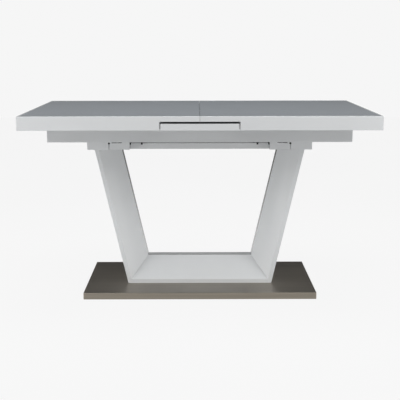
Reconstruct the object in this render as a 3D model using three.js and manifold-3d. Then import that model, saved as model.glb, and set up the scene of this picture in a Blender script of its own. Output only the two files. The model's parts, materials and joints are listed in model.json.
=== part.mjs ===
// Extendable dining table: a split top of two glass-faced halves that slide apart over a fixed
// tray, a loose extension leaf stored under the seam, and a V-shaped pedestal on a steel-clad base.
//
// Lengths are in millimetres. +X runs along the table, +Y to its back, +Z up. The origin is on the
// floor under the middle of the closed table.

import * as THREE from 'three';
import { mergeVertices } from 'three/addons/utils/BufferGeometryUtils.js';
import Module from 'manifold-3d';

const wasm = await Module();
wasm.setup();

// ---------------------------------------------------------------- driving dimensions

const FIT = 0.3; // gap between pieces that touch
const REACH = 2000; // size of a cutting block that is longer than any piece

const TABLE_LENGTH = 1400;
const TABLE_DEPTH = 900;
const TABLE_HEIGHT = 772;

const HALF_LENGTH = TABLE_LENGTH / 2;
const HALF_DEPTH = TABLE_DEPTH / 2;

// Top halves
const SEAM_HALF_GAP = 0.4;
const SLAB = 22; // glass and board together
const GLASS = 4;
const RIM = 5.5; // white rim left round the glass
const BAND_HEIGHT = 54;
const BAND_THICKNESS = 18;
const GLASS_BOTTOM = TABLE_HEIGHT - GLASS;
const BOARD_BOTTOM = TABLE_HEIGHT - SLAB;
const BAND_BOTTOM = TABLE_HEIGHT - BAND_HEIGHT;

// Extension leaf, and the notches in the front and back bands that it lies in
const LEAF_HALF_WIDTH = 151;
const LEAF_THICKNESS = 25.7;
const LEAF_TOP = BAND_BOTTOM + LEAF_THICKNESS;
const NOTCH_HALF_WIDTH = 154.5;
const NOTCH_TOP = 751.2;

// Alignment pins along the seam
const PIN_RADIUS = 4;
const PIN_REACH = 3; // how far a pin stands out of its edge
const PIN_ROOT = 20; // how deep a pin is glued in
const PIN_DROP = 13; // from the top surface down to a pin's axis
const PIN_SPACING = 300;
const SOCKET_RADIUS = 4.5;
const SOCKET_DEPTH = 5;

// Tray that the halves slide on
const TRAY_HALF_LENGTH = 600;
const TRAY_HALF_DEPTH = 350;
const TRAY_BOARD = 18;
const TRAY_PANEL = 10;
const TRAY_TOP = 714;
const TRAY_BOTTOM = 662.2;
const BATTEN_THICKNESS = 12;
const BATTEN_HALF_WIDTH = 50;
const BATTEN_BOTTOM = TRAY_BOTTOM + TRAY_PANEL + FIT;
const BATTEN_TOP = BATTEN_BOTTOM + BATTEN_THICKNESS;

// Slides: a fixed T-shaped rail on the tray in a channel under each half
const SLIDE_INNER_END = 160;
const RAIL_OUTER_END = 596;
const CHANNEL_OUTER_END = 676;
const SLIDE_Y = TRAY_HALF_DEPTH - TRAY_BOARD / 2;
const RAIL_FOOT = 2;
const RAIL_WEB_HALF = 1.5;
const RAIL_HEAD_HALF = 7;
const RAIL_HEAD_BOTTOM = 735;
const RAIL_HEAD_TOP = 745;
const CHANNEL_HALF = 12;
const CHANNEL_WALL = 2.5;
const CHANNEL_BOTTOM = 730;
const CHANNEL_MOUTH_HALF = 3.5;

// Rack and pinion that keep the halves moving together
const GEAR_MODULE = 2;
const PINION_TEETH = 20;
const PRESSURE_ANGLE = THREE.MathUtils.degToRad(20);
const BACKLASH = 0.15; // taken off each tooth flank
const PITCH_RADIUS = GEAR_MODULE * PINION_TEETH / 2;
const ADDENDUM = GEAR_MODULE;
const DEDENDUM = 1.25 * GEAR_MODULE;
const GEAR_BOTTOM = 686;
const GEAR_TOP = 698;
const AXLE_RADIUS = 5;
const RACK_BACK = 32; // from the pinion's axis to the rack's plain side
const RACK_TOOTHED_END = 166;
const RACK_FIRST_TOOTH = -16;
const RACK_STEM_END = 200;
const RACK_STEM = 4;
const RACK_FOOT_END = 235;
const RACK_FOOT_INNER = 16;
const RACK_FOOT_OUTER = 46;
const COVER_HALF_LENGTH = 30;
const COVER_HALF_WIDTH = 42.5;
const COVER_WALL = 2.5;
const COVER_TOP = 703;

// Pedestal
const LEAN = Math.atan(0.2315); // of each leg, outwards from upright
const FOOT_HALF_LENGTH = 306.3;
const MEMBER_HALF_DEPTH = 117;
const MEMBER_EDGE = 17.2; // flat front edge of the legs and the foot beam
const MEMBER_THICKNESS = 102.5; // at the ridge
const RIDGE_HALF_WIDTH = 26;
const CASING_WALL = 12;
const CAP_INNER = 291;
const CAP_OUTER = 467;
const CAP_HALF_DEPTH = 147;
const CAP_BOTTOM = 608.6;
const CAP_TOP = TRAY_BOTTOM - FIT;
const CAP_SLOT_INNER = 323;
const CAP_SLOT_OUTER = 365;
const CAP_SLOT_BOTTOM = 635.8;
const CAP_JOINT_X = 376.8;
const CAP_JOINT_WIDTH = 2.4; // shadow joint down a cap's front and back
const CAP_JOINT_DEPTH = 8;
const CAP_HOLE_RADIUS = 4.2; // open screw hole in that joint
const CAP_HOLE_DEPTH = 12;
const CAP_HOLE_Z = 634.5;
const CROSSBEAM_HALF_LENGTH = 290.2;
const CROSSBEAM_TOP = 632.5;
const CROSSBEAM_RELIEF_LENGTH = 3.2; // taken off the top of each end
const CROSSBEAM_RELIEF_HEIGHT = 6.5;
const SPACER_RADIUS = 5;
const SPACER_X = 242;
const SPACER_Y = 113;
const SPACER_BOTTOM = 627; // seated in a notch in the crossbeam's edge

// Base
const BASE_HALF_LENGTH = 482;
const BASE_HALF_DEPTH = 271.3;
const BASE_TOP = 29.1;
const COVER_SHEET = 1.2;
const PAD_HEIGHT = 1.2;
const PAD_RADIUS = 20;
const PAD_X = 420;
const PAD_Y = 220;
const CORE_BOTTOM = PAD_HEIGHT + FIT;
const FOOT_BOTTOM = BASE_TOP + FIT;
const BOLT_X = 180;
const BOLT_RADIUS = 4;
const BOLT_HEAD_RADIUS = 10;
const BOLT_HEAD = 6;
const BOLT_HEAD_BOTTOM = 4;
const NUT_RADIUS = 9;
const NUT_HEIGHT = 7;
const BOLT_TOP = 62;

const FINISH = {
  lacquer: { color: 0xe9e9e7, roughness: 0.18, metalness: 0 },
  glass: { color: 0x85898d, roughness: 0.06, metalness: 0 },
  stainless: { color: 0x8d8983, roughness: 0.32, metalness: 1 },
  zinc: { color: 0x9a9da0, roughness: 0.4, metalness: 1 },
  nylon: { color: 0xd8d4c8, roughness: 0.5, metalness: 0 },
  black: { color: 0x1d1d1f, roughness: 0.6, metalness: 0 },
  board: { color: 0x9c7f5c, roughness: 0.8, metalness: 0 },
  felt: { color: 0x3a3a3c, roughness: 0.95, metalness: 0 },
};

// ---------------------------------------------------------------- shape helpers

/** A box between two values on each axis, given in either order. */
function block(xs, ys, zs) {
  const size = [xs, ys, zs].map(([a, b]) => Math.abs(b - a));
  const middle = [xs, ys, zs].map(([a, b]) => (a + b) / 2);
  return new THREE.BoxGeometry(...size).translate(...middle);
}

/** An outline of [x, y] points raised from z = low to z = high. */
function prism(outline, low, high) {
  const shape = new THREE.Shape(outline.map(([x, y]) => new THREE.Vector2(x, y)));
  return new THREE.ExtrudeGeometry(shape, { depth: high - low, bevelEnabled: false }).translate(0, 0, low);
}

/** An outline of [y, z] points drawn out along X from one value to another. */
function beam(outline, from, to) {
  const [low, high] = [Math.min(from, to), Math.max(from, to)];
  const turned = prism(outline, low, high);
  return turned.applyMatrix4(new THREE.Matrix4().set(0, 0, 1, 0, 1, 0, 0, 0, 0, 1, 0, 0, 0, 0, 0, 1));
}

/** The outline whose right-hand side is given, with its mirror image as the left-hand side. */
function mirrored(rightSide) {
  const leftSide = rightSide.map(([u, v]) => [-u, v]).reverse();
  return [...rightSide, ...leftSide];
}

/** A round bar standing on z = low. */
function upright(radius, low, high, x = 0, y = 0, sides = 24) {
  const bar = new THREE.CylinderGeometry(radius, radius, high - low, sides);
  return bar.rotateX(Math.PI / 2).translate(x, y, (low + high) / 2);
}

/** A round bar lying along X. */
function lying(radius, from, to, y, z, sides = 16) {
  const bar = new THREE.CylinderGeometry(radius, radius, Math.abs(to - from), sides);
  return bar.rotateZ(Math.PI / 2).translate((from + to) / 2, y, z);
}

/** A large block that fills the side of a plane that its normal points to. */
function beyond(point, normal) {
  const filler = new THREE.BoxGeometry(REACH, REACH, REACH).translate(0, 0, REACH / 2);
  const turn = new THREE.Quaternion().setFromUnitVectors(new THREE.Vector3(0, 0, 1), normal);
  return filler.applyQuaternion(turn).translate(point.x, point.y, point.z);
}

function toSolid(geometry) {
  const bare = geometry.clone();
  bare.deleteAttribute('normal');
  bare.deleteAttribute('uv');
  const welded = mergeVertices(bare, 1e-4);
  return new wasm.Manifold(new wasm.Mesh({
    numProp: 3,
    vertProperties: new Float32Array(welded.attributes.position.array),
    triVerts: new Uint32Array(welded.index.array),
  }));
}

function toGeometry(solid) {
  const mesh = solid.getMesh();
  const geometry = new THREE.BufferGeometry();
  geometry.setAttribute('position', new THREE.BufferAttribute(mesh.vertProperties, 3));
  geometry.setIndex(new THREE.BufferAttribute(mesh.triVerts, 1));
  geometry.computeVertexNormals();
  return geometry;
}

function cut(geometry, ...tools) {
  const left = tools.reduce((solid, tool) => solid.subtract(toSolid(tool)), toSolid(geometry));
  return toGeometry(left);
}

function join(...geometries) {
  return toGeometry(geometries.map(toSolid).reduce((whole, next) => whole.add(next)));
}

/** A named piece in a group. */
function piece(group, name, geometry, finish) {
  const mesh = new THREE.Mesh(geometry, new THREE.MeshStandardMaterial(FINISH[finish]));
  mesh.name = name;
  group.add(mesh);
  return mesh;
}

const SIDES = [['left', -1], ['right', 1]];
const ENDS = [['front', -1], ['back', 1]];
const PINS = [['front', -PIN_SPACING], ['middle', 0], ['back', PIN_SPACING]];

// ---------------------------------------------------------------- sliding top halves

/** The space that the glass lies in, cut out of the bands' top inner corner. */
function glassRebate(side) {
  const end = side * (HALF_LENGTH - RIM);
  const edge = HALF_DEPTH - RIM;
  return block([-side, end], [-edge, edge], [GLASS_BOTTOM - FIT, TABLE_HEIGHT + 1]);
}

/** A long band with its mitred outer end and the leaf's notch at its seam end. */
function longBand(side, end) {
  const mitreGap = FIT / 2;
  const outer = end * HALF_DEPTH;
  const inner = end * (HALF_DEPTH - BAND_THICKNESS);
  const outline = [
    [side * SEAM_HALF_GAP, outer],
    [side * (HALF_LENGTH - mitreGap), outer],
    [side * (HALF_LENGTH - BAND_THICKNESS - mitreGap), inner],
    [side * SEAM_HALF_GAP, inner],
  ];
  const notch = block(
    [-side, side * NOTCH_HALF_WIDTH],
    [outer + end, inner - end],
    [BAND_BOTTOM - 1, NOTCH_TOP],
  );
  return cut(prism(outline, BAND_BOTTOM, TABLE_HEIGHT), notch, glassRebate(side));
}

/** The short band across the outer end of a half. */
function endBand(side) {
  const mitreGap = FIT / 2;
  const outer = HALF_DEPTH - mitreGap;
  const inner = HALF_DEPTH - BAND_THICKNESS - mitreGap;
  const outline = [
    [side * HALF_LENGTH, -outer],
    [side * HALF_LENGTH, outer],
    [side * (HALF_LENGTH - BAND_THICKNESS), inner],
    [side * (HALF_LENGTH - BAND_THICKNESS), -inner],
  ];
  return cut(prism(outline, BAND_BOTTOM, TABLE_HEIGHT), glassRebate(side));
}

/** The board under the glass, with holes for glued pins on the left half and loose ones on the right. */
function topBoard(side) {
  const end = HALF_LENGTH - BAND_THICKNESS - FIT;
  const edge = HALF_DEPTH - BAND_THICKNESS - FIT;
  const width = [side * SEAM_HALF_GAP, side * end];
  const board = block(width, [-edge, edge], [BOARD_BOTTOM, GLASS_BOTTOM - FIT]);
  const glued = side < 0;
  const radius = glued ? PIN_RADIUS + FIT : SOCKET_RADIUS;
  const depth = glued ? PIN_ROOT + FIT : SOCKET_DEPTH;
  const holes = PINS.map(([, y]) => lying(radius, -side, side * depth, y, TABLE_HEIGHT - PIN_DROP));
  return cut(board, ...holes);
}

/** The channel under a half that runs on the tray's rail. */
function slideChannel() {
  const top = BOARD_BOTTOM - FIT;
  return mirrored([
    [CHANNEL_MOUTH_HALF, CHANNEL_BOTTOM],
    [CHANNEL_HALF, CHANNEL_BOTTOM],
    [CHANNEL_HALF, top],
  ]).concat(mirrored([
    [CHANNEL_MOUTH_HALF, CHANNEL_BOTTOM + CHANNEL_WALL],
    [CHANNEL_HALF - CHANNEL_WALL, CHANNEL_BOTTOM + CHANNEL_WALL],
    [CHANNEL_HALF - CHANNEL_WALL, top - CHANNEL_WALL],
  ]).reverse());
}

/** Straight-sided rack teeth, a stem that climbs past the leaf, and a foot screwed under the board. */
function rack(side) {
  const pitch = Math.PI * GEAR_MODULE;
  const halfAtPitch = pitch / 4 - BACKLASH;
  const tipHalf = halfAtPitch - ADDENDUM * Math.tan(PRESSURE_ANGLE);
  const rootHalf = halfAtPitch + DEDENDUM * Math.tan(PRESSURE_ANGLE);
  const tip = PITCH_RADIUS - ADDENDUM;
  const root = PITCH_RADIUS + DEDENDUM;
  const first = Math.ceil(RACK_FIRST_TOOTH / pitch);
  const last = Math.floor(RACK_TOOTHED_END / pitch);
  const outline = [[-RACK_STEM_END, root]];
  for (let tooth = first; tooth < last; tooth += 1) {
    const middle = (tooth + 0.5) * pitch;
    outline.push([middle - rootHalf, root], [middle - tipHalf, tip]);
    outline.push([middle + tipHalf, tip], [middle + rootHalf, root]);
  }
  outline.push([RACK_TOOTHED_END, root], [RACK_TOOTHED_END, RACK_BACK], [-RACK_STEM_END, RACK_BACK]);
  const bar = prism(outline, GEAR_BOTTOM, GEAR_TOP);
  const top = BOARD_BOTTOM - FIT;
  const stem = block([-RACK_STEM_END, RACK_STEM - RACK_STEM_END], [root, RACK_BACK], [GEAR_BOTTOM, top]);
  const foot = block(
    [-RACK_FOOT_END, RACK_STEM - RACK_STEM_END],
    [RACK_FOOT_INNER, RACK_FOOT_OUTER],
    [top - RACK_STEM, top],
  );
  return join(bar, stem, foot).rotateZ(side < 0 ? 0 : Math.PI);
}

function topHalf(name, side) {
  const half = new THREE.Group();
  const glassEnd = HALF_LENGTH - RIM - FIT;
  const glassEdge = HALF_DEPTH - RIM - FIT;
  const panel = block(
    [side * SEAM_HALF_GAP, side * glassEnd],
    [-glassEdge, glassEdge],
    [GLASS_BOTTOM, TABLE_HEIGHT],
  );
  piece(half, `${name}_top_board`, topBoard(side), 'lacquer');
  piece(half, `${name}_glass_panel`, panel, 'glass');
  piece(half, `${name}_end_band`, endBand(side), 'lacquer');
  for (const [endName, end] of ENDS) {
    piece(half, `${name}_${endName}_band`, longBand(side, end), 'lacquer');
    const channel = beam(slideChannel(), side * SLIDE_INNER_END, side * CHANNEL_OUTER_END);
    piece(half, `${name}_${endName}_slide_channel`, channel, 'zinc').position.y = end * SLIDE_Y;
  }
  piece(half, `${name}_rack`, rack(side), 'nylon');
  return half;
}

/** Pins glued into the left half's seam edge, with chamfered noses. */
function seamPins() {
  const pins = new THREE.Group();
  const chamfer = 1;
  const profile = [
    [0, -PIN_ROOT],
    [PIN_RADIUS, -PIN_ROOT],
    [PIN_RADIUS, PIN_REACH - chamfer],
    [PIN_RADIUS - chamfer, PIN_REACH],
    [0, PIN_REACH],
  ].map(([radius, along]) => new THREE.Vector2(radius, along));
  for (const [name, y] of PINS) {
    const pin = piece(pins, `seam_pin_${name}`, new THREE.LatheGeometry(profile, 16), 'nylon');
    pin.rotation.z = -Math.PI / 2;
    pin.position.set(0, y, TABLE_HEIGHT - PIN_DROP);
  }
  return pins;
}

// ---------------------------------------------------------------- extension leaf

function leaf() {
  const group = new THREE.Group();
  const width = [-LEAF_HALF_WIDTH, LEAF_HALF_WIDTH];
  const edge = HALF_DEPTH - RIM;
  const pinZ = LEAF_TOP - PIN_DROP;
  const slab = block(width, [-HALF_DEPTH, HALF_DEPTH], [BAND_BOTTOM, LEAF_TOP]);
  const rebate = block([-HALF_LENGTH, HALF_LENGTH], [-edge, edge], [LEAF_TOP - GLASS - FIT, LEAF_TOP + 1]);
  const sockets = PINS.map(([, y]) => {
    return lying(SOCKET_RADIUS, -LEAF_HALF_WIDTH - 1, SOCKET_DEPTH - LEAF_HALF_WIDTH, y, pinZ);
  });
  const pins = PINS.map(([, y]) => {
    return lying(PIN_RADIUS, LEAF_HALF_WIDTH - PIN_ROOT, LEAF_HALF_WIDTH + PIN_REACH, y, pinZ);
  });
  piece(group, 'leaf_board', join(cut(slab, rebate, ...sockets), ...pins), 'lacquer');
  const panel = block(width, [-edge + FIT, edge - FIT], [LEAF_TOP - GLASS, LEAF_TOP]);
  piece(group, 'leaf_glass_panel', panel, 'glass');
  return group;
}

// ---------------------------------------------------------------- tray, rails and pinion

/** The rail's T section: foot, web and head. */
function slideRail() {
  const foot = TRAY_TOP + FIT;
  return mirrored([
    [TRAY_BOARD / 2, foot],
    [TRAY_BOARD / 2, foot + RAIL_FOOT],
    [RAIL_WEB_HALF, foot + RAIL_FOOT],
    [RAIL_WEB_HALF, RAIL_HEAD_BOTTOM],
    [RAIL_HEAD_HALF, RAIL_HEAD_BOTTOM],
    [RAIL_HEAD_HALF, RAIL_HEAD_TOP],
  ]);
}

function tray() {
  const group = new THREE.Group();
  const innerEnd = TRAY_HALF_LENGTH - TRAY_BOARD;
  const innerEdge = TRAY_HALF_DEPTH - TRAY_BOARD;
  const height = [TRAY_BOTTOM, TRAY_TOP];
  const span = [-innerEdge + FIT, innerEdge - FIT];
  for (const [name, end] of ENDS) {
    const depth = [end * innerEdge, end * TRAY_HALF_DEPTH];
    const strip = [-LEAF_HALF_WIDTH, LEAF_HALF_WIDTH];
    const rail = block([-TRAY_HALF_LENGTH, TRAY_HALF_LENGTH], depth, height);
    const glide = block(strip, depth, [TRAY_TOP + FIT, BAND_BOTTOM - FIT]);
    piece(group, `tray_${name}_rail`, rail, 'lacquer');
    piece(group, `leaf_glide_${name}`, glide, 'felt');
  }
  for (const [name, side] of SIDES) {
    const capMiddle = side * (CAP_INNER + CAP_OUTER) / 2;
    const battenWidth = [capMiddle - BATTEN_HALF_WIDTH, capMiddle + BATTEN_HALF_WIDTH];
    const board = block([side * innerEnd, side * TRAY_HALF_LENGTH], span, height);
    const batten = block(battenWidth, span, [BATTEN_BOTTOM, BATTEN_TOP]);
    piece(group, `tray_${name}_end`, board, 'lacquer');
    piece(group, `tray_${name}_batten`, batten, 'board');
    for (const [endName, end] of ENDS) {
      const rail = beam(slideRail(), side * SLIDE_INNER_END, side * RAIL_OUTER_END);
      piece(group, `${name}_${endName}_slide_rail`, rail, 'zinc').position.y = end * SLIDE_Y;
    }
  }
  const panelLength = [-innerEnd + FIT, innerEnd - FIT];
  const panel = block(panelLength, span, [TRAY_BOTTOM, TRAY_BOTTOM + TRAY_PANEL]);
  const middle = [-BATTEN_HALF_WIDTH, BATTEN_HALF_WIDTH];
  piece(group, 'tray_bottom_panel', panel, 'lacquer');
  piece(group, 'tray_middle_batten', block(middle, span, [BATTEN_BOTTOM, BATTEN_TOP]), 'board');
  return group;
}

/** Involute pinion with one tooth pointing along +Y, so that a rack's gap faces it. */
function pinion() {
  const baseRadius = PITCH_RADIUS * Math.cos(PRESSURE_ANGLE);
  const tipRadius = PITCH_RADIUS + ADDENDUM;
  const rootRadius = PITCH_RADIUS - DEDENDUM;
  const flankSteps = 4;
  const involute = (angle) => Math.tan(angle) - angle;
  const halfAtPitch = Math.PI / (2 * PINION_TEETH) - BACKLASH / PITCH_RADIUS;
  const halfAngle = (radius) => {
    return halfAtPitch + involute(PRESSURE_ANGLE) - involute(Math.acos(baseRadius / radius));
  };
  const flank = [[rootRadius, halfAngle(baseRadius)]];
  for (let step = 0; step <= flankSteps; step += 1) {
    const radius = baseRadius + (tipRadius - baseRadius) * step / flankSteps;
    flank.push([radius, halfAngle(radius)]);
  }
  const outline = [];
  for (let tooth = 0; tooth < PINION_TEETH; tooth += 1) {
    const middle = Math.PI / 2 + tooth * 2 * Math.PI / PINION_TEETH;
    const rising = flank.map(([radius, half]) => [radius, middle - half]);
    const falling = flank.map(([radius, half]) => [radius, middle + half]).reverse();
    for (const [radius, angle] of [...rising, ...falling]) {
      outline.push([radius * Math.cos(angle), radius * Math.sin(angle)]);
    }
  }
  const bore = upright(AXLE_RADIUS + FIT, GEAR_BOTTOM - 1, GEAR_TOP + 1);
  return cut(prism(outline, GEAR_BOTTOM, GEAR_TOP), bore);
}

function drive() {
  const group = new THREE.Group();
  const floor = BATTEN_TOP + FIT;
  const ceiling = COVER_TOP - COVER_WALL;
  const cover = mirrored([
    [COVER_HALF_WIDTH - COVER_WALL, ceiling],
    [COVER_HALF_WIDTH - COVER_WALL, floor],
    [COVER_HALF_WIDTH, floor],
    [COVER_HALF_WIDTH, COVER_TOP],
  ]);
  piece(group, 'drive_pinion', pinion(), 'nylon');
  piece(group, 'pinion_axle', upright(AXLE_RADIUS, floor, ceiling - FIT), 'zinc');
  piece(group, 'pinion_cover', beam(cover, -COVER_HALF_LENGTH, COVER_HALF_LENGTH), 'zinc');
  return group;
}

// ---------------------------------------------------------------- pedestal

/** Section of the flat outer panel of a leg or the foot beam: [depth, thickness] points. */
const PANEL_SECTION = mirrored([
  [MEMBER_HALF_DEPTH, 0],
  [MEMBER_HALF_DEPTH, MEMBER_EDGE],
]);

/** Section of the hollow casing: two bevelled walls that rise from the panel to a flat ridge. */
function casingSection() {
  const low = MEMBER_EDGE + FIT;
  const run = (MEMBER_HALF_DEPTH - RIDGE_HALF_WIDTH) / (MEMBER_THICKNESS - low);
  const inset = CASING_WALL * Math.hypot(1, run);
  const innerTop = MEMBER_THICKNESS - CASING_WALL;
  return mirrored([
    [RIDGE_HALF_WIDTH + CASING_WALL * run - inset, innerTop],
    [MEMBER_HALF_DEPTH - inset, low],
    [MEMBER_HALF_DEPTH, low],
    [RIDGE_HALF_WIDTH, MEMBER_THICKNESS],
  ]);
}

/** The mitre between a leg and the foot beam, as a point on it and its normal towards the leg. */
function mitre(side) {
  const along = new THREE.Vector3(side * (Math.sin(LEAN) - 1), 0, Math.cos(LEAN)).normalize();
  const normal = new THREE.Vector3(side * along.z, 0, -side * along.x);
  return { corner: new THREE.Vector3(side * FOOT_HALF_LENGTH, 0, FOOT_BOTTOM), normal };
}

/** A leg's panel or casing, leaning outwards, mitred to the foot and cut level under its cap. */
function legMember(section, side) {
  const longer = CAP_BOTTOM + MEMBER_THICKNESS;
  const { corner, normal } = mitre(side);
  const member = beam(section, -MEMBER_THICKNESS, longer);
  member.rotateY(-Math.PI / 2);
  if (side < 0) member.rotateZ(Math.PI);
  member.rotateY(side * LEAN);
  member.translate(corner.x, corner.y, corner.z);
  const start = corner.clone().addScaledVector(normal, FIT / 2);
  const top = new THREE.Vector3(corner.x, 0, CAP_BOTTOM - FIT);
  return cut(member, beyond(start, normal.clone().negate()), beyond(top, new THREE.Vector3(0, 0, 1)));
}

/** The foot beam's panel or casing, lying on the base and mitred at both ends. */
function footMember(section) {
  const raised = section.map(([depth, height]) => [depth, FOOT_BOTTOM + height]);
  const ends = SIDES.map(([, side]) => {
    const { corner, normal } = mitre(side);
    return beyond(corner.clone().addScaledVector(normal, -FIT / 2), normal);
  });
  return cut(beam(raised, -HALF_LENGTH, HALF_LENGTH), ...ends);
}

/** The holes of the bolts that hold the base to the foot beam. */
function boltHoles() {
  return SIDES.map(([, side]) => upright(BOLT_RADIUS + FIT, 0, BOLT_TOP + 1, side * BOLT_X));
}

/** The board on top of a leg: slotted along its top, with a joint and a screw hole front and back. */
function legCap(side) {
  const middle = side * CAP_JOINT_X;
  const joint = [middle - CAP_JOINT_WIDTH / 2, middle + CAP_JOINT_WIDTH / 2];
  const cap = block(
    [side * CAP_INNER, side * CAP_OUTER],
    [-CAP_HALF_DEPTH, CAP_HALF_DEPTH],
    [CAP_BOTTOM, CAP_TOP],
  );
  const slot = block(
    [side * CAP_SLOT_INNER, side * CAP_SLOT_OUTER],
    [-REACH, REACH],
    [CAP_SLOT_BOTTOM, CAP_TOP + 1],
  );
  const faces = ENDS.flatMap(([, end]) => {
    const jointDepth = [end * (CAP_HALF_DEPTH - CAP_JOINT_DEPTH), end * (CAP_HALF_DEPTH + 1)];
    const hole = new THREE.CylinderGeometry(CAP_HOLE_RADIUS, CAP_HOLE_RADIUS, 2 * CAP_HOLE_DEPTH, 16);
    return [
      block(joint, jointDepth, [CAP_BOTTOM - 1, CAP_TOP + 1]),
      hole.translate(middle, end * CAP_HALF_DEPTH, CAP_HOLE_Z),
    ];
  });
  return cut(cap, slot, ...faces);
}

/** The thin beam between the caps, relieved at its ends and notched for the four spacers. */
function crossbeam() {
  const length = [-CROSSBEAM_HALF_LENGTH, CROSSBEAM_HALF_LENGTH];
  const beamBlock = block(length, [-MEMBER_HALF_DEPTH, MEMBER_HALF_DEPTH], [CAP_BOTTOM, CROSSBEAM_TOP]);
  const reliefs = SIDES.map(([, side]) => {
    const ends = [side * (CROSSBEAM_HALF_LENGTH - CROSSBEAM_RELIEF_LENGTH), side * HALF_LENGTH];
    return block(ends, [-REACH, REACH], [CROSSBEAM_TOP - CROSSBEAM_RELIEF_HEIGHT, CROSSBEAM_TOP + 1]);
  });
  const radius = SPACER_RADIUS + FIT;
  const bottom = SPACER_BOTTOM - FIT;
  const notches = SIDES.flatMap(([, side]) => ENDS.map(([, end]) => {
    return upright(radius, bottom, CROSSBEAM_TOP + 1, side * SPACER_X, end * SPACER_Y);
  }));
  return cut(beamBlock, ...reliefs, ...notches);
}

function pedestal() {
  const group = new THREE.Group();
  for (const [name, side] of SIDES) {
    piece(group, `${name}_leg_panel`, legMember(PANEL_SECTION, side), 'lacquer');
    piece(group, `${name}_leg_casing`, legMember(casingSection(), side), 'lacquer');
    piece(group, `${name}_leg_cap`, legCap(side), 'lacquer');
    for (const [endName, end] of ENDS) {
      const spacer = upright(SPACER_RADIUS, SPACER_BOTTOM, CAP_TOP, side * SPACER_X, end * SPACER_Y);
      piece(group, `${name}_${endName}_spacer`, spacer, 'black');
    }
  }
  piece(group, 'crossbeam', crossbeam(), 'lacquer');
  piece(group, 'foot_beam_panel', cut(footMember(PANEL_SECTION), ...boltHoles()), 'lacquer');
  piece(group, 'foot_beam_casing', footMember(casingSection()), 'lacquer');
  return group;
}

// ---------------------------------------------------------------- base

function baseBolt(side) {
  const x = side * BOLT_X;
  const nutBottom = FOOT_BOTTOM + MEMBER_EDGE + FIT;
  return join(
    upright(BOLT_HEAD_RADIUS, BOLT_HEAD_BOTTOM, BOLT_HEAD_BOTTOM + BOLT_HEAD, x),
    upright(BOLT_RADIUS, BOLT_HEAD_BOTTOM, BOLT_TOP, x),
    upright(NUT_RADIUS, nutBottom, nutBottom + NUT_HEIGHT, x, 0, 6),
  );
}

function base() {
  const group = new THREE.Group();
  const length = BASE_HALF_LENGTH - COVER_SHEET;
  const depth = BASE_HALF_DEPTH - COVER_SHEET;
  const ceiling = BASE_TOP - COVER_SHEET;
  const outside = block(
    [-BASE_HALF_LENGTH, BASE_HALF_LENGTH],
    [-BASE_HALF_DEPTH, BASE_HALF_DEPTH],
    [CORE_BOTTOM, BASE_TOP],
  );
  const inside = block([-length, length], [-depth, depth], [0, ceiling]);
  const core = block(
    [FIT - length, length - FIT],
    [FIT - depth, depth - FIT],
    [CORE_BOTTOM, ceiling - FIT],
  );
  const recesses = SIDES.map(([, side]) => {
    return upright(BOLT_HEAD_RADIUS + 1, 0, BOLT_HEAD_BOTTOM + BOLT_HEAD + FIT, side * BOLT_X);
  });
  piece(group, 'base_cover', cut(outside, inside, ...boltHoles()), 'stainless');
  piece(group, 'base_core', cut(core, ...boltHoles(), ...recesses), 'board');
  for (const [name, side] of SIDES) {
    piece(group, `base_bolt_${name}`, baseBolt(side), 'zinc');
    for (const [endName, end] of ENDS) {
      const pad = upright(PAD_RADIUS, 0, PAD_HEIGHT, side * PAD_X, end * PAD_Y, 32);
      piece(group, `${name}_${endName}_floor_pad`, pad, 'felt');
    }
  }
  return group;
}

// ---------------------------------------------------------------- whole table

const table = new THREE.Group();
for (const [name, side] of SIDES) table.add(topHalf(name, side));
table.add(seamPins(), leaf(), tray(), drive(), pedestal(), base());

export default table;
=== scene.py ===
"""Looks of the extendable dining table: white lacquer, grey glass and brushed stainless steel.

Every size is in metres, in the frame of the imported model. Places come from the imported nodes.
"""

import json
import math

import bmesh
import bpy
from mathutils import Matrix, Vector


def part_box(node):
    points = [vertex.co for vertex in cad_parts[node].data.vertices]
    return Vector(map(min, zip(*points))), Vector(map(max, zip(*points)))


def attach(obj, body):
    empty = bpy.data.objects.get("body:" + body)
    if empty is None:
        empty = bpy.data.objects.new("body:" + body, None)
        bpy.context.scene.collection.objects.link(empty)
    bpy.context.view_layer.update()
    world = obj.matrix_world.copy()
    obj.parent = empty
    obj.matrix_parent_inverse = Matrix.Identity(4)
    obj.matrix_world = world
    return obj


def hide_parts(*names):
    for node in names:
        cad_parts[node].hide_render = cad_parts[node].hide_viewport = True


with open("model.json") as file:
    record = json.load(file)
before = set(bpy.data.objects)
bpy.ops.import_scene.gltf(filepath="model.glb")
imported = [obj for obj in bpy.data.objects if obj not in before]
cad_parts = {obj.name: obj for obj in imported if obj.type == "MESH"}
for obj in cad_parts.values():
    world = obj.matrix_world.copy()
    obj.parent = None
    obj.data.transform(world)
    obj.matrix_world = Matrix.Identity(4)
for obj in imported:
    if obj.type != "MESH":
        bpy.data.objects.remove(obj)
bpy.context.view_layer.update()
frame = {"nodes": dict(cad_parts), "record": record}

SIDES = (("left", -1), ("right", 1))
ENDS = (("front", -1), ("back", 1))
MM = 0.001

# ---------------------------------------------------------------- node helpers


def add_node(material, kind, inputs=None, **settings):
    """A shader node with its attributes and its unlinked inputs set."""
    node = material.node_tree.nodes.new(kind)
    for name, value in settings.items():
        setattr(node, name, value)
    for name, value in (inputs or {}).items():
        node.inputs[name].default_value = value
    return node


def link(material, output, target):
    material.node_tree.links.new(output, target)


def object_point(material, scale=(1, 1, 1)):
    """The point on the piece in the table's frame, with each axis scaled."""
    place = add_node(material, "ShaderNodeTexCoord")
    mapping = add_node(material, "ShaderNodeMapping", {"Scale": scale})
    link(material, place.outputs["Object"], mapping.inputs["Vector"])
    return mapping.outputs["Vector"]


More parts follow.
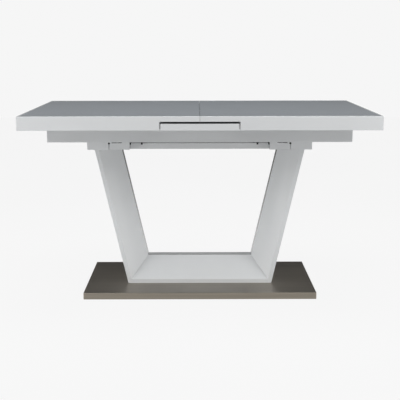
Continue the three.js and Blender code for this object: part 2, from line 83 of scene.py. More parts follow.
def noise(material, scale=(1, 1, 1), detail=2.0, roughness=0.5):
    """Noise with that many grains per metre along each axis."""
    texture = add_node(
        material,
        "ShaderNodeTexNoise",
        {"Scale": 1.0, "Detail": detail, "Roughness": roughness},
    )
    link(material, object_point(material, scale), texture.inputs["Vector"])
    return texture.outputs["Fac"]


def spread(material, value, low, high, start=0.3, end=0.7):
    """A value between start and end mapped to one between low and high."""
    mapped = add_node(
        material,
        "ShaderNodeMapRange",
        {"From Min": start, "From Max": end, "To Min": low, "To Max": high},
    )
    link(material, value, mapped.inputs["Value"])
    return mapped.outputs["Result"]


def blend_colours(material, factor, first, second):
    """first where factor is 0 and second where it is 1. Each is a colour or an output."""
    mix = add_node(material, "ShaderNodeMix", data_type="RGBA")
    link(material, factor, mix.inputs["Factor"])
    for socket, colour in ((mix.inputs["A"], first), (mix.inputs["B"], second)):
        if isinstance(colour, tuple):
            socket.default_value = (*colour, 1.0)
        else:
            link(material, colour, socket)
    return mix.outputs["Result"]


def calculate(material, operation, first, second):
    """The result of a maths node. Each operand is a number or an output."""
    maths = add_node(material, "ShaderNodeMath", operation=operation)
    for socket, operand in zip(maths.inputs, (first, second)):
        if isinstance(operand, (int, float)):
            socket.default_value = operand
        else:
            link(material, operand, socket)
    return maths.outputs["Value"]


def facing(material, axis):
    """How far a face looks along an axis of the table's frame, from 0 to 1."""
    place = add_node(material, "ShaderNodeTexCoord")
    parts = add_node(material, "ShaderNodeSeparateXYZ")
    link(material, place.outputs["Normal"], parts.inputs["Vector"])
    return calculate(material, "ABSOLUTE", parts.outputs[axis], 0.0)


def add_bump(material, shader, height, distance):
    """Relief on a shader from a height output. distance is how deep it goes, in metres."""
    bump = add_node(material, "ShaderNodeBump", {"Distance": distance, "Strength": 1.0})
    link(material, height, bump.inputs["Height"])
    link(material, bump.outputs["Normal"], shader.inputs["Normal"])


def new_material(name, inputs):
    """A material with a Principled shader, and that shader."""
    material = bpy.data.materials.new(name)
    material.use_nodes = True
    shader = material.node_tree.nodes["Principled BSDF"]
    for socket, value in inputs.items():
        shader.inputs[socket].default_value = value
    return material, shader


# ---------------------------------------------------------------- materials


def white_lacquer():
    """Sprayed gloss lacquer on fibreboard: a slight orange peel under a clear coat."""
    material, shader = new_material(
        "white_lacquer_gloss",
        {"Coat Weight": 1.0, "Coat Roughness": 0.03, "Specular IOR Level": 0.3},
    )
    cloud = spread(material, noise(material, (5, 5, 5)), 0.0, 1.0)
    colour = blend_colours(material, cloud, (0.806, 0.822, 0.832), (0.834, 0.850, 0.858))
    link(material, colour, shader.inputs["Base Color"])
    polish = spread(material, noise(material, (14, 14, 14), detail=4), 0.16, 0.27)
    link(material, polish, shader.inputs["Roughness"])
    peel = noise(material, (420, 420, 420), detail=1)
    waves = noise(material, (45, 45, 45), detail=1)
    height = calculate(material, "ADD", peel, calculate(material, "MULTIPLY", waves, 2.0))
    add_bump(material, shader, height, 0.00004)
    return material


def grey_glass():
    """Toughened glass, painted grey on its back, with darker green-grey ground edges."""
    material, shader = new_material(
        "grey_glass_painted",
        {"Coat Weight": 0.5, "Coat Roughness": 0.03, "IOR": 1.45, "Specular IOR Level": 0.35},
    )
    cloud = spread(material, noise(material, (2.2, 2.2, 2.2)), 0.0, 1.0)
    face = blend_colours(material, cloud, (0.209, 0.237, 0.265), (0.221, 0.249, 0.277))
    upward = spread(material, facing(material, "Z"), 0.0, 1.0, start=0.5, end=0.9)
    colour = blend_colours(material, upward, (0.060, 0.085, 0.078), face)
    link(material, colour, shader.inputs["Base Color"])
    smears = noise(material, (9, 16, 9), detail=5, roughness=0.6)
    link(material, spread(material, smears, 0.10, 0.17), shader.inputs["Roughness"])
    add_bump(material, shader, noise(material, (25, 25, 25), detail=1), 0.00002)
    return material


def brushed_stainless():
    """Long-grain stainless sheet: streaks along the sheet, and a painted highlight: every face
    that doesn't look up gets a lighter, warmer colour than the top.
    """
    material, shader = new_material("stainless_brushed", {"Metallic": 1.0, "Anisotropic": 0.55})
    along_x = noise(material, (2.5, 1100, 1100), detail=5, roughness=0.65)
    along_y = noise(material, (1100, 2.5, 1100), detail=5, roughness=0.65)
    broad = noise(material, (1.2, 130, 130), detail=3)
    end_face = spread(material, facing(material, "X"), 0.0, 1.0, start=0.6, end=0.8)
    choice = add_node(material, "ShaderNodeMix", data_type="FLOAT")
    for output, socket in ((end_face, "Factor"), (along_x, "A"), (along_y, "B")):
        link(material, output, choice.inputs[socket])
    streaks = choice.outputs["Result"]
    grain = spread(material, streaks, 0.0, 1.0)
    sheet = blend_colours(material, grain, (0.350, 0.320, 0.278), (0.490, 0.450, 0.393))
    bands = spread(material, broad, 0.0, 0.6)
    sheet = blend_colours(material, bands, sheet, (0.340, 0.311, 0.270))
    # Painted highlight: the sides get a lighter, warmer colour than the top, standing for the pale
    # floor they reflect.
    edge = blend_colours(material, grain, (0.450, 0.403, 0.335), (0.630, 0.566, 0.474))
    upward = spread(material, facing(material, "Z"), 0.0, 1.0, start=0.3, end=0.9)
    link(material, blend_colours(material, upward, edge, sheet), shader.inputs["Base Color"])
    link(material, spread(material, streaks, 0.35, 0.50), shader.inputs["Roughness"])
    add_bump(material, shader, streaks, 0.00003)
    return material


def zinc_steel():
    """Zinc-plated steel with the faint patches that plating leaves."""
    material, shader = new_material("steel_zinc_plated", {"Metallic": 1.0})
    patches = noise(material, (160, 160, 160), detail=3)
    colour = blend_colours(
        material, spread(material, patches, 0.0, 1.0), (0.50, 0.515, 0.53), (0.64, 0.65, 0.655)
    )
    link(material, colour, shader.inputs["Base Color"])
    link(material, spread(material, patches, 0.28, 0.45), shader.inputs["Roughness"])
    add_bump(material, shader, noise(material, (900, 900, 900)), 0.00002)
    return material


def nylon():
    """Natural nylon: waxy, slightly mottled, with fine mould texture."""
    material, shader = new_material(
        "nylon_natural", {"Subsurface Weight": 0.15, "Subsurface Scale": 0.003}
    )
    mottle = noise(material, (120, 120, 120), detail=3)
    colour = blend_colours(
        material, spread(material, mottle, 0.0, 1.0), (0.70, 0.675, 0.605), (0.79, 0.77, 0.71)
    )
    link(material, colour, shader.inputs["Base Color"])
    link(material, spread(material, mottle, 0.38, 0.52), shader.inputs["Roughness"])
    add_bump(material, shader, noise(material, (1500, 1500, 1500)), 0.00003)
    return material


def black_steel():
    """Black powder coat with its pebbled surface."""
    material, shader = new_material("steel_powder_black", {"Specular IOR Level": 0.15})
    pebbles = noise(material, (1800, 1800, 1800), detail=3)
    colour = blend_colours(
        material, spread(material, pebbles, 0.0, 1.0), (0.008, 0.008, 0.009), (0.018, 0.018, 0.020)
    )
    link(material, colour, shader.inputs["Base Color"])
    link(material, spread(material, pebbles, 0.55, 0.75), shader.inputs["Roughness"])
    add_bump(material, shader, pebbles, 0.00006)
    return material


def felt():
    """Dense felt: matted fibres with a soft sheen."""
    material, shader = new_material("felt_grey", {"Sheen Weight": 0.5, "Sheen Roughness": 0.6})
    fibres = noise(material, (1400, 1400, 1400), detail=6, roughness=0.75)
    colour = blend_colours(
        material, spread(material, fibres, 0.0, 1.0), (0.030, 0.030, 0.033), (0.085, 0.085, 0.090)
    )
    link(material, colour, shader.inputs["Base Color"])
    link(material, spread(material, fibres, 0.85, 0.98), shader.inputs["Roughness"])
    add_bump(material, shader, fibres, 0.0003)
    return material


def raw_board():
    """Uncoated medium-density fibreboard: fine pale and dark fibres."""
    material, shader = new_material("fibreboard_raw", {"Specular IOR Level": 0.25})
    fibres = noise(material, (700, 180, 700), detail=6, roughness=0.7)
    clouds = noise(material, (25, 25, 25), detail=3)
    fine = blend_colours(
        material, spread(material, fibres, 0.0, 1.0), (0.330, 0.225, 0.130), (0.470, 0.345, 0.215)
    )
    colour = blend_colours(material, spread(material, clouds, 0.0, 0.4), fine, (0.38, 0.27, 0.165))
    link(material, colour, shader.inputs["Base Color"])
    link(material, spread(material, fibres, 0.7, 0.9), shader.inputs["Roughness"])
    add_bump(material, shader, fibres, 0.00015)
    return material


MATERIALS = {
    "white_lacquer": white_lacquer(),
    "grey_glass": grey_glass(),
    "brushed_stainless": brushed_stainless(),
    "zinc_steel": zinc_steel(),
    "nylon": nylon(),
    "black_steel": black_steel(),
    "felt": felt(),
    "raw_board": raw_board(),
}

# ---------------------------------------------------------------- shapes

SHARP_ANGLE = math.radians(32)
ROUND_STEPS = 48
ARC_STEPS = 6
WELD_DISTANCE = 0.01 * MM


def finish_piece(name, shape, slot, body="support", replaced=()):
    """Makes a piece of a shape. It rides on a body and stands for the replaced nodes."""
    bmesh.ops.remove_doubles(shape, verts=shape.verts, dist=WELD_DISTANCE)
    bmesh.ops.recalc_face_normals(shape, faces=shape.faces)
    mesh = bpy.data.meshes.new(name)
    shape.to_mesh(mesh)
    shape.free()
    mesh.shade_smooth()
    mesh.set_sharp_from_angle(angle=SHARP_ANGLE)
    mesh.materials.append(MATERIALS[slot])
    piece = bpy.data.objects.new(name, mesh)
    bpy.context.scene.collection.objects.link(piece)
    normals = piece.modifiers.new("even_normals", "WEIGHTED_NORMAL")
    normals.keep_sharp = True
    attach(piece, body)
    if replaced:
        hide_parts(*replaced)


def lofted(rings, shape=None):
    """A closed skin over rings of equally many points, with a face on the first and the last."""
    shape = shape or bmesh.new()
    loops = [[shape.verts.new(point) for point in ring] for ring in rings]
    for lower, upper in zip(loops, loops[1:]):
        for index in range(len(lower)):
            shape.faces.new((lower[index - 1], lower[index], upper[index], upper[index - 1]))
    shape.faces.new(loops[0])
    shape.faces.new(loops[-1])
    return shape


def turned(profile, place, axis=(0, 0, 1), shape=None):
    """A solid turned round an axis. Its profile has (radius, height) points from end to end.

    A point marked "hex" makes a hexagon of that half width across its flats.
    """
    turn = Vector((0, 0, 1)).rotation_difference(Vector(axis))
    rings = []
    for radius, height, *mark in profile:
        ring = []
        for step in range(ROUND_STEPS):
            angle = 2 * math.pi * step / ROUND_STEPS
            reach = radius / math.cos(angle % (math.pi / 3) - math.pi / 6) if mark else radius
            spot = Vector((reach * math.cos(angle), reach * math.sin(angle), height))
            ring.append(Vector(place) + turn @ spot)
        rings.append(ring)
    return lofted(rings, shape)


def rounded(corners, radii):
    """The closed outline of a convex polygon with each corner rounded to its radius."""
    outline = []
    for index, (corner, radius) in enumerate(zip(corners, radii)):
        before = (corners[index - 1] - corner).normalized()
        after = (corners[(index + 1) % len(corners)] - corner).normalized()
        half_angle = before.angle(after) / 2
        middle = corner + (before + after).normalized() * radius / math.sin(half_angle)
        setback = radius / math.tan(half_angle)
        first = corner + before * setback - middle
        last = corner + after * setback - middle
        for step in range(ARC_STEPS + 1):
            outline.append(middle + first.lerp(last, step / ARC_STEPS).normalized() * radius)
    return outline


def rounded_rectangle(half_length, half_depth, radius, height):
    corners = [
        Vector((x * half_length, y * half_depth)) for x, y in ((-1, -1), (1, -1), (1, 1), (-1, 1))
    ]
    outline = rounded(corners, [radius] * len(corners))
    return [point.to_3d() + Vector((0, 0, height)) for point in outline]


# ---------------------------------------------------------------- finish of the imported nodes

EDGE_RADIUS = {
    "white_lacquer": 0.6 * MM,
    "grey_glass": 0.6 * MM,
    "brushed_stainless": 0.5 * MM,
    "zinc_steel": 0.4 * MM,
    "nylon": 0.3 * MM,
    "black_steel": 0.4 * MM,
    "felt": 0.5 * MM,
    "raw_board": 0.3 * MM,
}
FACE_ANGLE = math.radians(0.5)
SLOT_OF = {row["node"]: row["material_slot"] for row in frame["record"]["subparts"]}


def soften_edges(piece, radius):
    """Joins a faceted node's triangles into whole faces and rounds its edges."""
    weld = piece.modifiers.new("weld", "WELD")
    weld.merge_threshold = WELD_DISTANCE
    flat = piece.modifiers.new("whole_faces", "DECIMATE")
    flat.decimate_type = "DISSOLVE"
    flat.angle_limit = FACE_ANGLE
    rounding = piece.modifiers.new("rounding", "BEVEL")
    rounding.width = radius
    rounding.segments = 3
    rounding.limit_method = "ANGLE"
    rounding.angle_limit = SHARP_ANGLE
    normals = piece.modifiers.new("even_normals", "WEIGHTED_NORMAL")
    normals.keep_sharp = True


def finish_nodes():
    """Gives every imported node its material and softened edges."""
    for name, piece in frame["nodes"].items():
        slot = SLOT_OF[name]
        piece.data.materials.clear()
        piece.data.materials.append(MATERIALS[slot])
        soften_edges(piece, EDGE_RADIUS[slot])


finish_nodes()

# ---------------------------------------------------------------- edge bands

BAND_RADIUS = 0.8 * MM
MITRE_TOLERANCE = 0.5 * MM
HALF_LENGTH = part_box("right_end_band")[1][0]
HALF_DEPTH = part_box("right_back_band")[1][1]
BAND_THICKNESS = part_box("right_end_band")[1][0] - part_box("right_end_band")[0][0]


def on_mitre(point):
    """Whether a point lies on the diagonal joint between an end band and a long band."""
    from_end = HALF_LENGTH - abs(point.x)
    from_edge = HALF_DEPTH - abs(point.y)
    return abs(from_end - from_edge) < MITRE_TOLERANCE and from_end < BAND_THICKNESS + MM


def make_band(node, body):
    """A copy of a band with every edge rounded but those of its mitres, which close tightly."""
    shape = bmesh.new()
    shape.from_mesh(frame["nodes"][node].data)
    bmesh.ops.remove_doubles(shape, verts=shape.verts, dist=WELD_DISTANCE)
    bmesh.ops.dissolve_limit(
        shape, angle_limit=FACE_ANGLE, verts=shape.verts, edges=shape.edges
    )
    edges = [
        edge
        for edge in shape.edges
        if edge.calc_face_angle(0) > SHARP_ANGLE and not all(on_mitre(v.co) for v in edge.verts)
    ]
    bmesh.ops.bevel(
        shape, geom=edges, offset=BAND_RADIUS, segments=3, profile=0.5, affect="EDGES",
        clamp_overlap=True,
    )
    finish_piece(f"{node}_lacquered", shape, "white_lacquer", body, [node])


def make_bands():
    """The end, front and back band of each half."""
    for side_name, _ in SIDES:
        for band in ("end_band", *(f"{end_name}_band" for end_name, _ in ENDS)):
            make_band(f"{side_name}_{band}", f"{side_name}_half")


make_bands()

# ---------------------------------------------------------------- pedestal

LEG_SLOPE = 0.2315  # outwards for each unit up
LEAN = math.atan(LEG_SLOPE)
FOOT_HALF_LENGTH = 306.3 * MM
RIDGE_HALF_WIDTH = 26 * MM
BEVEL_RADIUS = 2.0 * MM
OUTER_RADIUS = 0.7 * MM
FOOT_LOW, PANEL_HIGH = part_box("foot_beam_panel")
RIDGE_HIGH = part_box("foot_beam_casing")[1]
LEG_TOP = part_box("left_leg_panel")[1][2]


def make_member(name, corner, along, inward, ends, replaced):
    """A lacquered beam of the pedestal: a bevelled section drawn out between two end planes."""
    half_depth = PANEL_HIGH[1]
    edge = PANEL_HIGH[2] - FOOT_LOW[2]
    ridge = RIDGE_HIGH[2] - FOOT_LOW[2]
    right = [(half_depth, 0), (half_depth, edge), (RIDGE_HALF_WIDTH, ridge)]
    left = [(-depth, height) for depth, height in reversed(right)]
    radii = [OUTER_RADIUS, BEVEL_RADIUS, BEVEL_RADIUS]
    section = rounded([Vector(point) for point in right + left], radii + radii[::-1])
    rings = []
    for point, normal in ends:
        ring = []
        for depth, height in section:
            start = corner + Vector((0, depth, 0)) + inward * height
            ring.append(start + along * (point - start).dot(normal) / along.dot(normal))
        rings.append(ring)
    finish_piece(name, lofted(rings), "white_lacquer", "support", replaced)


def make_pedestal():
    """Two legs and a foot beam whose mitres are filled and lacquered over."""
    up = Vector((0, 0, 1))
    mitres = []
    for name, side in SIDES:
        corner = Vector((side * FOOT_HALF_LENGTH, 0, FOOT_LOW[2]))
        along = Vector((side * math.sin(LEAN), 0, math.cos(LEAN)))
        inward = Vector((-side * math.cos(LEAN), 0, math.sin(LEAN)))
        halving = (along - Vector((side, 0, 0))).normalized()
        mitre = (corner, Vector((halving.z, 0, -halving.x)))
        top = (Vector((0, 0, LEG_TOP)), up)
        nodes = [f"{name}_leg_panel", f"{name}_leg_casing"]
        make_member(f"{name}_leg", corner, along, inward, [mitre, top], nodes)
        mitres.append(mitre)
    nodes = ["foot_beam_panel", "foot_beam_casing"]
    middle = Vector((0, 0, FOOT_LOW[2]))
    make_member("foot_beam", middle, Vector((1, 0, 0)), up, mitres, nodes)


make_pedestal()


SPACER_COLLAR = 9 * MM
SPACER_CHAMFER = 0.5 * MM
SPACER_WAIST = 0.85  # of the collar's radius


def make_spacers():
    """Black turned spacers with a collar at each end, seated in the crossbeam's edge."""
    for side_name, _ in SIDES:
        for end_name, _ in ENDS:
            node = f"{side_name}_{end_name}_spacer"
            low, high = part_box(node)
            radius = (high[0] - low[0]) / 2
            height = high[2] - low[2]
            waist = SPACER_WAIST * radius
            profile = [
                (radius - SPACER_CHAMFER, 0),
                (radius, SPACER_CHAMFER),
                (radius, SPACER_COLLAR),
                (waist, SPACER_COLLAR + MM),
                (waist, height - SPACER_COLLAR - MM),
                (radius, height - SPACER_COLLAR),
                (radius, height - SPACER_CHAMFER),
                (radius - SPACER_CHAMFER, height),
            ]
            place = ((low[0] + high[0]) / 2, (low[1] + high[1]) / 2, low[2])
            finish_piece(f"{node}_turned", turned(profile, place), "black_steel", replaced=[node])


make_spacers()

# ---------------------------------------------------------------- base

SHEET = 1.2 * MM
BEND_RADIUS = 2.5 * MM
CORNER_RADIUS = 3.2 * MM


def make_base_cover():
    """A stainless tray turned upside down, with bent top edges and ground corner welds."""
    low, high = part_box("base_cover")
    rings = []

    def add_ring(inset, height):
        corner = CORNER_RADIUS - inset
        rings.append(rounded_rectangle(high[0] - inset, high[1] - inset, corner, height))

    inner_bend = BEND_RADIUS - SHEET
    bend_height = high[2] - BEND_RADIUS
    for step in reversed(range(ARC_STEPS + 1)):
        angle = math.pi / 2 * step / ARC_STEPS
        inset = BEND_RADIUS - inner_bend * math.cos(angle)
        add_ring(inset, bend_height + inner_bend * math.sin(angle))
    add_ring(SHEET, low[2])
    add_ring(0, low[2])
    for step in range(ARC_STEPS + 1):
        angle = math.pi / 2 * step / ARC_STEPS
        add_ring(BEND_RADIUS * (1 - math.cos(angle)), bend_height + BEND_RADIUS * math.sin(angle))
    finish_piece("base_sheet", lofted(rings), "brushed_stainless", replaced=["base_cover"])


PAD_FOOT_INSET = 0.5 * MM
PAD_TOP_INSET = 0.3 * MM


def make_floor_pads():
    """Felt discs with a slightly domed edge."""
    for side_name, _ in SIDES:
        for end_name, _ in ENDS:
            node = f"{side_name}_{end_name}_floor_pad"
            low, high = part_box(node)
            radius = (high[0] - low[0]) / 2
            height = high[2] - low[2]
            profile = [
                (radius - PAD_FOOT_INSET, 0),
                (radius - 0.2 * PAD_FOOT_INSET, 0.3 * height),
                (radius, 0.6 * height),
                (radius - PAD_TOP_INSET, height),
            ]
            place = ((low[0] + high[0]) / 2, (low[1] + high[1]) / 2, low[2])
            finish_piece(f"{node}_felt", turned(profile, place), "felt", replaced=[node])


SHANK = 4 * MM
HEAD_HALF_WIDTH = 8.5 * MM
HEAD_FOOT_RADIUS = 7 * MM
HEAD_HEIGHT = 6 * MM
WASHER_RADIUS = 10 * MM
WASHER_THICKNESS = 1.7 * MM
NUT_HALF_WIDTH = 7.6 * MM
NUT_HEIGHT = 6.5 * MM
CORNER_CUT = 0.7 * MM
CLEARANCE = 0.3 * MM


def make_base_bolts():
    """Hexagon bolts with a washer under each nut, up through the base into the foot beam."""
    for name, _ in SIDES:
        node = f"base_bolt_{name}"
        low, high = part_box(node)
        place = ((low[0] + high[0]) / 2, 0, 0)
        head_top = low[2] + HEAD_HEIGHT
        washer_bottom = PANEL_HIGH[2] + CLEARANCE
        nut_bottom = washer_bottom + WASHER_THICKNESS
        nut_top = nut_bottom + NUT_HEIGHT
        profile = [
            (HEAD_FOOT_RADIUS, low[2]),
            (HEAD_HALF_WIDTH, low[2] + CORNER_CUT, "hex"),
            (HEAD_HALF_WIDTH, head_top, "hex"),
            (SHANK, head_top),
            (SHANK, washer_bottom),
            (WASHER_RADIUS, washer_bottom),
            (WASHER_RADIUS, nut_bottom),
            (NUT_HALF_WIDTH, nut_bottom, "hex"),
            (NUT_HALF_WIDTH, nut_top - CORNER_CUT, "hex"),
            (NUT_HALF_WIDTH - MM, nut_top),
            (SHANK, nut_top),
            (SHANK, high[2] - MM),
            (SHANK - MM, high[2]),
        ]
        finish_piece(f"{node}_hexagon", turned(profile, place), "zinc_steel", replaced=[node])


make_base_cover()
make_floor_pads()
make_base_bolts()

# ---------------------------------------------------------------- pins, axle and screws


PIN_NOSE = 1.8 * MM
PIN_GROOVE = 0.35 * MM
PIN_RING_COUNT = 4
PIN_RING_START = 3 * MM
PIN_RING_STEP = 4 * MM


def make_seam_pins():
    """Nylon pins with a rounded nose and shallow grip rings where they are glued in."""
    for name in ("front", "middle", "back"):
        node = f"seam_pin_{name}"
        low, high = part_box(node)
        radius = (high[2] - low[2]) / 2
        length = high[0] - low[0]
        neck = radius - PIN_GROOVE
        profile = [(neck, 0), (radius, PIN_GROOVE)]
        for ring in range(PIN_RING_COUNT):
            start = PIN_RING_START + PIN_RING_STEP * ring
            profile += [
                (radius, start),
                (neck, start + PIN_GROOVE),
                (neck, start + 3 * PIN_GROOVE),
                (radius, start + 4 * PIN_GROOVE),
            ]
        for step in range(ARC_STEPS + 1):
            angle = math.pi / 2 * step / ARC_STEPS
            inset = PIN_NOSE * (1 - math.cos(angle))
            profile.append((radius - inset, length - PIN_NOSE * (1 - math.sin(angle))))
        place = (low[0], (low[1] + high[1]) / 2, (low[2] + high[2]) / 2)
        shape = turned(profile, place, axis=(1, 0, 0))
        finish_piece(f"{node}_turned", shape, "nylon", "left_half", [node])


AXLE_CHAMFER = 0.4 * MM
RETAINER_GAP = 0.5 * MM
RETAINER_THICKNESS = 0.8 * MM
RETAINER_REACH = 1.5  # of the axle's radius


def make_axle():
    """The pinion's axle with a retaining ring above the pinion."""
    low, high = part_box("pinion_axle")
    radius = (high[0] - low[0]) / 2
    retainer = RETAINER_REACH * radius
    ring_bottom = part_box("drive_pinion")[1][2] + RETAINER_GAP - low[2]
    ring_top = ring_bottom + RETAINER_THICKNESS
    height = high[2] - low[2]
    profile = [
        (radius - AXLE_CHAMFER, 0),
        (radius, AXLE_CHAMFER),
        (radius, ring_bottom),
        (retainer, ring_bottom),
        (retainer, ring_top),
        (radius, ring_top),
        (radius, height - AXLE_CHAMFER),
        (radius - AXLE_CHAMFER, height),
    ]
    shape = turned(profile, (0, 0, low[2]))
    finish_piece("pinion_axle_turned", shape, "zinc_steel", replaced=["pinion_axle"])


def screw(shape, place, axis, radius):
    """A pan-head screw with a hexagon socket. Its head rests on the place given.

    Every measure of the profile is a share of the head's radius or height.
    """
    height = 0.62 * radius
    socket = 0.42 * radius
    profile = [
        (0.3 * radius, -2.5 * radius),
        (0.5 * radius, -2.2 * radius),
        (0.5 * radius, 0),
        (radius, 0),
        (radius, 0.45 * height),
        (0.93 * radius, 0.8 * height),
        (0.75 * radius, height),
        (socket, height, "hex"),
        (socket, 0.35 * height, "hex"),
    ]
    turned(profile, place, axis, shape)


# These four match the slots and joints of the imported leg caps.
SLOT_MIDDLE = 344 * MM
SLOT_BOTTOM = 635.8 * MM
JOINT_X = 376.8 * MM
HOLE_HEIGHT = 634.5 * MM
SLOT_SCREW_DEPTHS = (-122 * MM, -60 * MM, 60 * MM, 122 * MM)
SLOT_SCREW_HEAD = 4.5 * MM
JOINT_SCREW_HEAD = 3.8 * MM
JOINT_SCREW_RECESS = 7.2 * MM


def make_cap_screws():
    """Screws up in the slot of each leg cap, and black ones sunk in the caps' front and back."""
    for name, side in SIDES:
        shape = bmesh.new()
        for depth in SLOT_SCREW_DEPTHS:
            place = (side * SLOT_MIDDLE, depth, SLOT_BOTTOM)
            screw(shape, place, (0, 0, 1), SLOT_SCREW_HEAD)
        finish_piece(f"{name}_cap_screws", shape, "zinc_steel")
        screw_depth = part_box(f"{name}_leg_cap")[1][1] - JOINT_SCREW_RECESS
        shape = bmesh.new()
        for _, end in ENDS:
            place = (side * JOINT_X, end * screw_depth, HOLE_HEIGHT)
            screw(shape, place, (0, end, 0), JOINT_SCREW_HEAD)
        finish_piece(f"{name}_cap_joint_screws", shape, "black_steel")


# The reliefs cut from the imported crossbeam's ends.
RELIEF_LENGTH = 3.2 * MM
RELIEF_HEIGHT = 6.5 * MM
BUFFER_STAND = 1.5 * MM
BUFFER_EDGE = 0.5 * MM


def make_shade_buffers():
    """Black rubber strips in the reliefs at the crossbeam's ends, which keep it off the caps. They
    are also painted shade: dark pieces that make these gaps read as shadowed.
    """
    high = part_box("crossbeam")[1]
    for name, side in SIDES:
        cap_face = min(abs(corner[0]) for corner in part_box(f"{name}_leg_cap"))
        inner = high[0] - RELIEF_LENGTH + CLEARANCE
        half_length = (cap_face - CLEARANCE - inner) / 2
        half_depth = high[1] - CLEARANCE
        middle = Vector((side * (inner + half_length), 0, 0))
        bottom = high[2] - RELIEF_HEIGHT + CLEARANCE
        top = high[2] + BUFFER_STAND
        edge = BUFFER_EDGE
        rings = []
        for inset, height in ((edge, bottom), (0, bottom + edge), (0, top - edge), (edge, top)):
            outline = rounded_rectangle(half_length - inset, half_depth - inset, MM, height)
            rings.append([middle + point for point in outline])
        # Painted shade: black strips that darken the reliefs between the crossbeam and the caps.
        finish_piece(f"{name}_crossbeam_shade_buffer", lofted(rings), "black_steel")


RAIL_SCREW_HEAD = 2.6 * MM
RAIL_SCREW_COUNT = 6
RAIL_SCREW_OFFSET = 5.2 * MM
RAIL_FOOT = 2 * MM
RACK_SCREW_HEAD = 3.2 * MM
RACK_SCREW_SHIFTS = (-10 * MM, 10 * MM)
RACK_FOOT_X = 217 * MM
RACK_FOOT_Y = 31 * MM
RACK_FOOT_HEIGHT = 4 * MM


def make_rail_screws():
    """Screws along the feet of the four rails, on either side of the web in turn."""
    for side_name, _ in SIDES:
        for end_name, _ in ENDS:
            low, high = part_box(f"{side_name}_{end_name}_slide_rail")
            middle = (low[1] + high[1]) / 2
            foot = low[2] + RAIL_FOOT
            shape = bmesh.new()
            for index in range(RAIL_SCREW_COUNT):
                along = low[0] + (high[0] - low[0]) * (index + 0.5) / RAIL_SCREW_COUNT
                beside = RAIL_SCREW_OFFSET if index % 2 else -RAIL_SCREW_OFFSET
                screw(shape, (along, middle + beside, foot), (0, 0, 1), RAIL_SCREW_HEAD)
            finish_piece(f"{side_name}_{end_name}_rail_screws", shape, "zinc_steel")


def make_rack_screws():
    """Two screws up through the foot of each rack into the board above."""
    for name, side in SIDES:
        foot_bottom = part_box(f"{name}_rack")[1][2] - RACK_FOOT_HEIGHT
        shape = bmesh.new()
        for shift in RACK_SCREW_SHIFTS:
            place = (side * RACK_FOOT_X, -side * RACK_FOOT_Y + shift, foot_bottom)
            screw(shape, place, (0, 0, -1), RACK_SCREW_HEAD)
        finish_piece(f"{name}_rack_screws", shape, "zinc_steel", f"{name}_half")


make_seam_pins()
make_axle()
make_cap_screws()
make_shade_buffers()
make_rail_screws()
make_rack_screws()

# ---------------------------------------------------------------- stage, light and camera

STAGE_RADIUS = 9.0
GROUND_TONE = 0.921
FLOOR_GLOW = (GROUND_TONE - 0.016, GROUND_TONE - 0.012)
# The tone of each of the studio's walls at these elevations, in degrees.
ELEVATIONS = (-90, -30, -10, -5, 0, 8, 20, 40, 65, 90)
STUDIO = {
    "back": (0.16, 0.39, 0.52, 0.03, 0.0, 0.30, 0.0, 0.0, 0.0, 0.0),
    "side": (0.16, 0.46, 0.99, 0.87, 1.0, 0.82, 0.69, 0.08, 0.0, 0.0),
    "front": (0.16, 0.38, 0.42, 0.0, 0.185, 0.0, 0.0, 0.33, 0.0, 0.0),
}


def make_stage():
    """A plain pale floor that only the camera sees, so the studio lights the table from below."""
    bpy.ops.mesh.primitive_circle_add(vertices=96, radius=STAGE_RADIUS, fill_type="NGON")
    floor = bpy.context.object
    floor.name = "studio_floor"
    floor.visible_diffuse = False
    floor.visible_glossy = False
    floor.visible_transmission = False
    material, shader = new_material(
        "floor_pale",
        {
            "Base Color": (0.02, 0.02, 0.02, 1),
            "Roughness": 0.9,
            "Specular IOR Level": 0.0,
            "Emission Color": (1, 1, 1, 1),
        },
    )
    patches = noise(material, (0.7, 0.7, 0.7), detail=1)
    glow = spread(material, patches, *FLOOR_GLOW)
    link(material, glow, shader.inputs["Emission Strength"])
    floor.data.materials.append(material)


def elevation_ramp(world, height, tones):
    """Tones at the studio's elevations, from a direction's height between 0 and 1."""
    ramp = add_node(world, "ShaderNodeValToRGB")
    stops = ramp.color_ramp.elements
    for elevation in ELEVATIONS[1:-1]:
        stops.new((math.sin(math.radians(elevation)) + 1) / 2)
    for stop, tone in zip(stops, tones):
        stop.color = (tone, tone, tone, 1)
    link(world, height, ramp.inputs["Fac"])
    return ramp.outputs["Color"]


SMALLEST_LEVEL = 1e-9  # keeps the division below from meeting zero straight up and down


def make_world():
    """A pale backdrop for the camera, and a studio with a dark wall behind and pale sides."""
    world = bpy.data.worlds.new("studio")
    bpy.context.scene.world = world
    world.use_nodes = True
    background = world.node_tree.nodes["Background"]
    direction = add_node(world, "ShaderNodeTexCoord")
    parts = add_node(world, "ShaderNodeSeparateXYZ")
    link(world, direction.outputs["Generated"], parts.inputs["Vector"])
    x, y, z = (parts.outputs[axis] for axis in "XYZ")
    height = calculate(world, "MULTIPLY", calculate(world, "ADD", z, 1.0), 0.5)
    x_squared = calculate(world, "MULTIPLY", x, x)
    y_squared = calculate(world, "MULTIPLY", y, y)
    squared = calculate(world, "ADD", x_squared, y_squared)
    level = calculate(world, "MAXIMUM", squared, SMALLEST_LEVEL)
    endways = calculate(world, "DIVIDE", y_squared, level)
    behind = calculate(world, "GREATER_THAN", y, 0.0)
    back, side, front = (elevation_ramp(world, height, STUDIO[name]) for name in STUDIO)
    lengthways = blend_colours(world, behind, front, back)
    studio = blend_colours(world, endways, side, lengthways)
    ray = add_node(world, "ShaderNodeLightPath")
    tone = blend_colours(world, ray.outputs["Is Camera Ray"], studio, (GROUND_TONE,) * 3)
    link(world, tone, background.inputs["Color"])


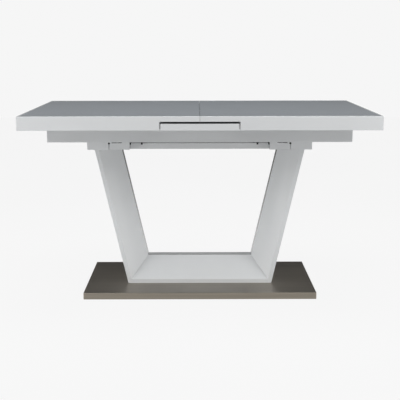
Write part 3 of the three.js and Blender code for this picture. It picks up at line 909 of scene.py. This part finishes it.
def softbox(name, place, target, size, power):
    """A rectangular soft light that faces a point."""
    light = bpy.data.lights.new(name, "AREA")
    light.shape = "RECTANGLE"
    light.size, light.size_y = size
    light.energy = power
    lamp = bpy.data.objects.new(name, light)
    lamp.location = place
    lamp.rotation_euler = (Vector(target) - Vector(place)).to_track_quat("-Z", "Y").to_euler()
    bpy.context.scene.collection.objects.link(lamp)


# Each softbox's place, the point it faces, its width and height, and its power in watts.
SOFTBOXES = {
    "key_front": ((0, -2.3, 2.1), (0, -0.4, 0.77), (2.6, 1.0), 7.5),
    "near_front": ((0, -1.5, 1.5), (0, -0.3, 0.77), (2.2, 0.4), 0.5),
    "low_front": ((0, -1.7, 0.45), (0, -0.1, 0.12), (2.4, 0.5), 0.8),
    "overhead": ((0, 0, 2.6), (0, 0, 0.7), (2.4, 1.4), 79.0),
    "key_left": ((-2.4, -1.6, 2.0), (0, -0.2, 0.5), (1.2, 1.2), 20.0),
    "low_left": ((-1.7, -0.9, 0.4), (0, -0.1, 0.15), (0.8, 0.5), 6.2),
    "key_right": ((2.4, -1.6, 2.0), (0, -0.2, 0.5), (1.2, 1.2), 23.4),
    "low_right": ((1.7, -0.9, 0.4), (0, -0.1, 0.15), (0.8, 0.5), 4.6),
}


def make_lights():
    for name, settings in SOFTBOXES.items():
        softbox(name, *settings)


# The camera was fitted to the photo's straight edges.
CAMERA_DISTANCE = 3.9906
CAMERA_HEIGHT = 1.0673
CAMERA_PITCH = math.radians(9.903)
CAMERA_ROLL = math.radians(0.07)
CAMERA_TURN = math.radians(0.2)
CAMERA_PAN = math.radians(0.035)
LENS = 83.72
SENSOR = 36.0


def make_camera():
    """The photo's camera: in front of the table, a little above it and turned slightly aside."""
    data = bpy.data.cameras.new("camera")
    data.lens = LENS
    data.sensor_width = SENSOR
    camera = bpy.data.objects.new("camera", data)
    aside = -CAMERA_DISTANCE * math.sin(CAMERA_TURN)
    before = -CAMERA_DISTANCE * math.cos(CAMERA_TURN)
    camera.location = (aside, before, CAMERA_HEIGHT)
    heading = -CAMERA_TURN - CAMERA_PAN
    camera.rotation_euler = (math.pi / 2 - CAMERA_PITCH, CAMERA_ROLL, heading)
    bpy.context.scene.collection.objects.link(camera)
    bpy.context.scene.camera = camera


bpy.context.scene.view_settings.view_transform = "Standard"
make_stage()
make_world()
make_lights()
make_camera()
